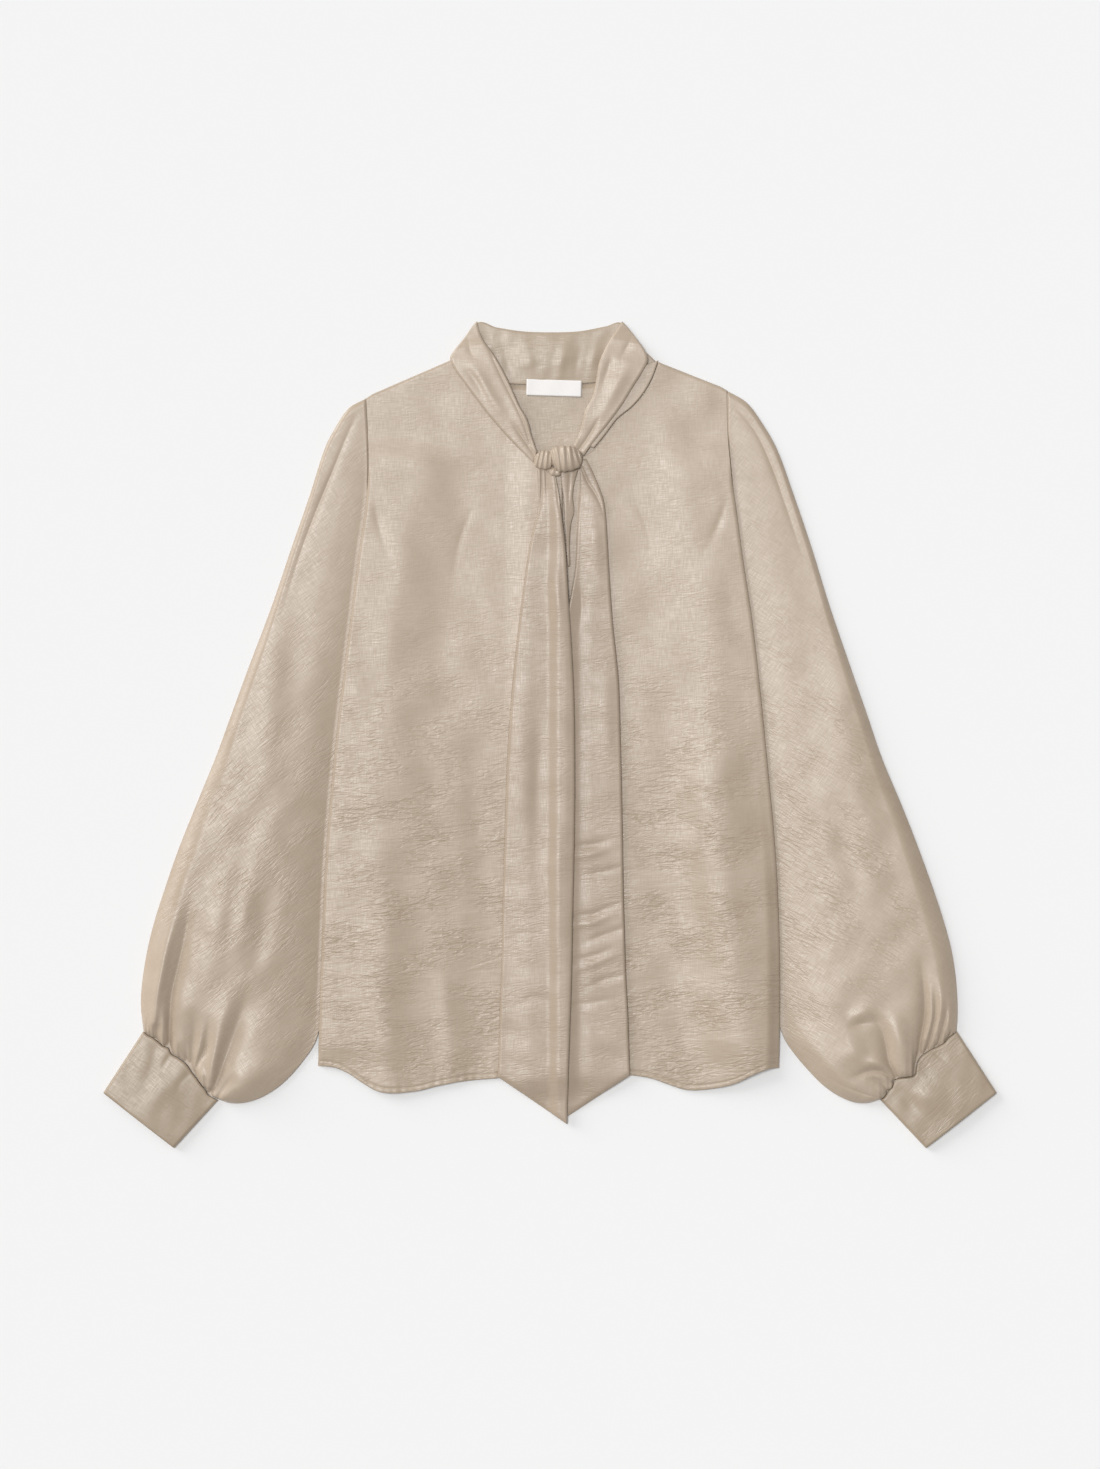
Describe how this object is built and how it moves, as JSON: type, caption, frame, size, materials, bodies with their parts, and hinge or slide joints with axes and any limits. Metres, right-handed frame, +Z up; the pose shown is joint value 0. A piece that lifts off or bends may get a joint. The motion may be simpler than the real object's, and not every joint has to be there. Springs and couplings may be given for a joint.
{
  "type": "tie neck blouse",
  "caption": "Loose long-sleeved blouse with a tie collar, gathered full sleeves and deep cuffs, laid flat face up.",
  "frame": {"origin": "middle of the laid garment's outline, at the underside of the back where it rests", "axes": "+X from the wearer's right sleeve to the left, +Y from the hem to the collar, +Z up through the cloth layers"},
  "size_m": [0.8498, 0.7862, 0.0164],
  "materials": {
    "washed_satin": "washed satin, taupe beige, soft sheen",
    "satin_inside": "the duller inner side of the satin",
    "label_tape": "matte woven tape, off-white and blank"
  },
  "bodies": {
    "root": {"front_right": "washed_satin", "front_left": "washed_satin", "sleeve_right": "washed_satin", "sleeve_left": "washed_satin", "cuff_right": "washed_satin", "cuff_left": "washed_satin", "collar_right": "washed_satin", "collar_left": "washed_satin", "neck_stand_left": "washed_satin", "knot": "washed_satin", "tie_right": "washed_satin", "tie_left": "washed_satin", "tie_fold": "washed_satin", "back": "satin_inside", "collar_back": "satin_inside", "neck_label": "label_tape"}
  },
  "joints": []
}
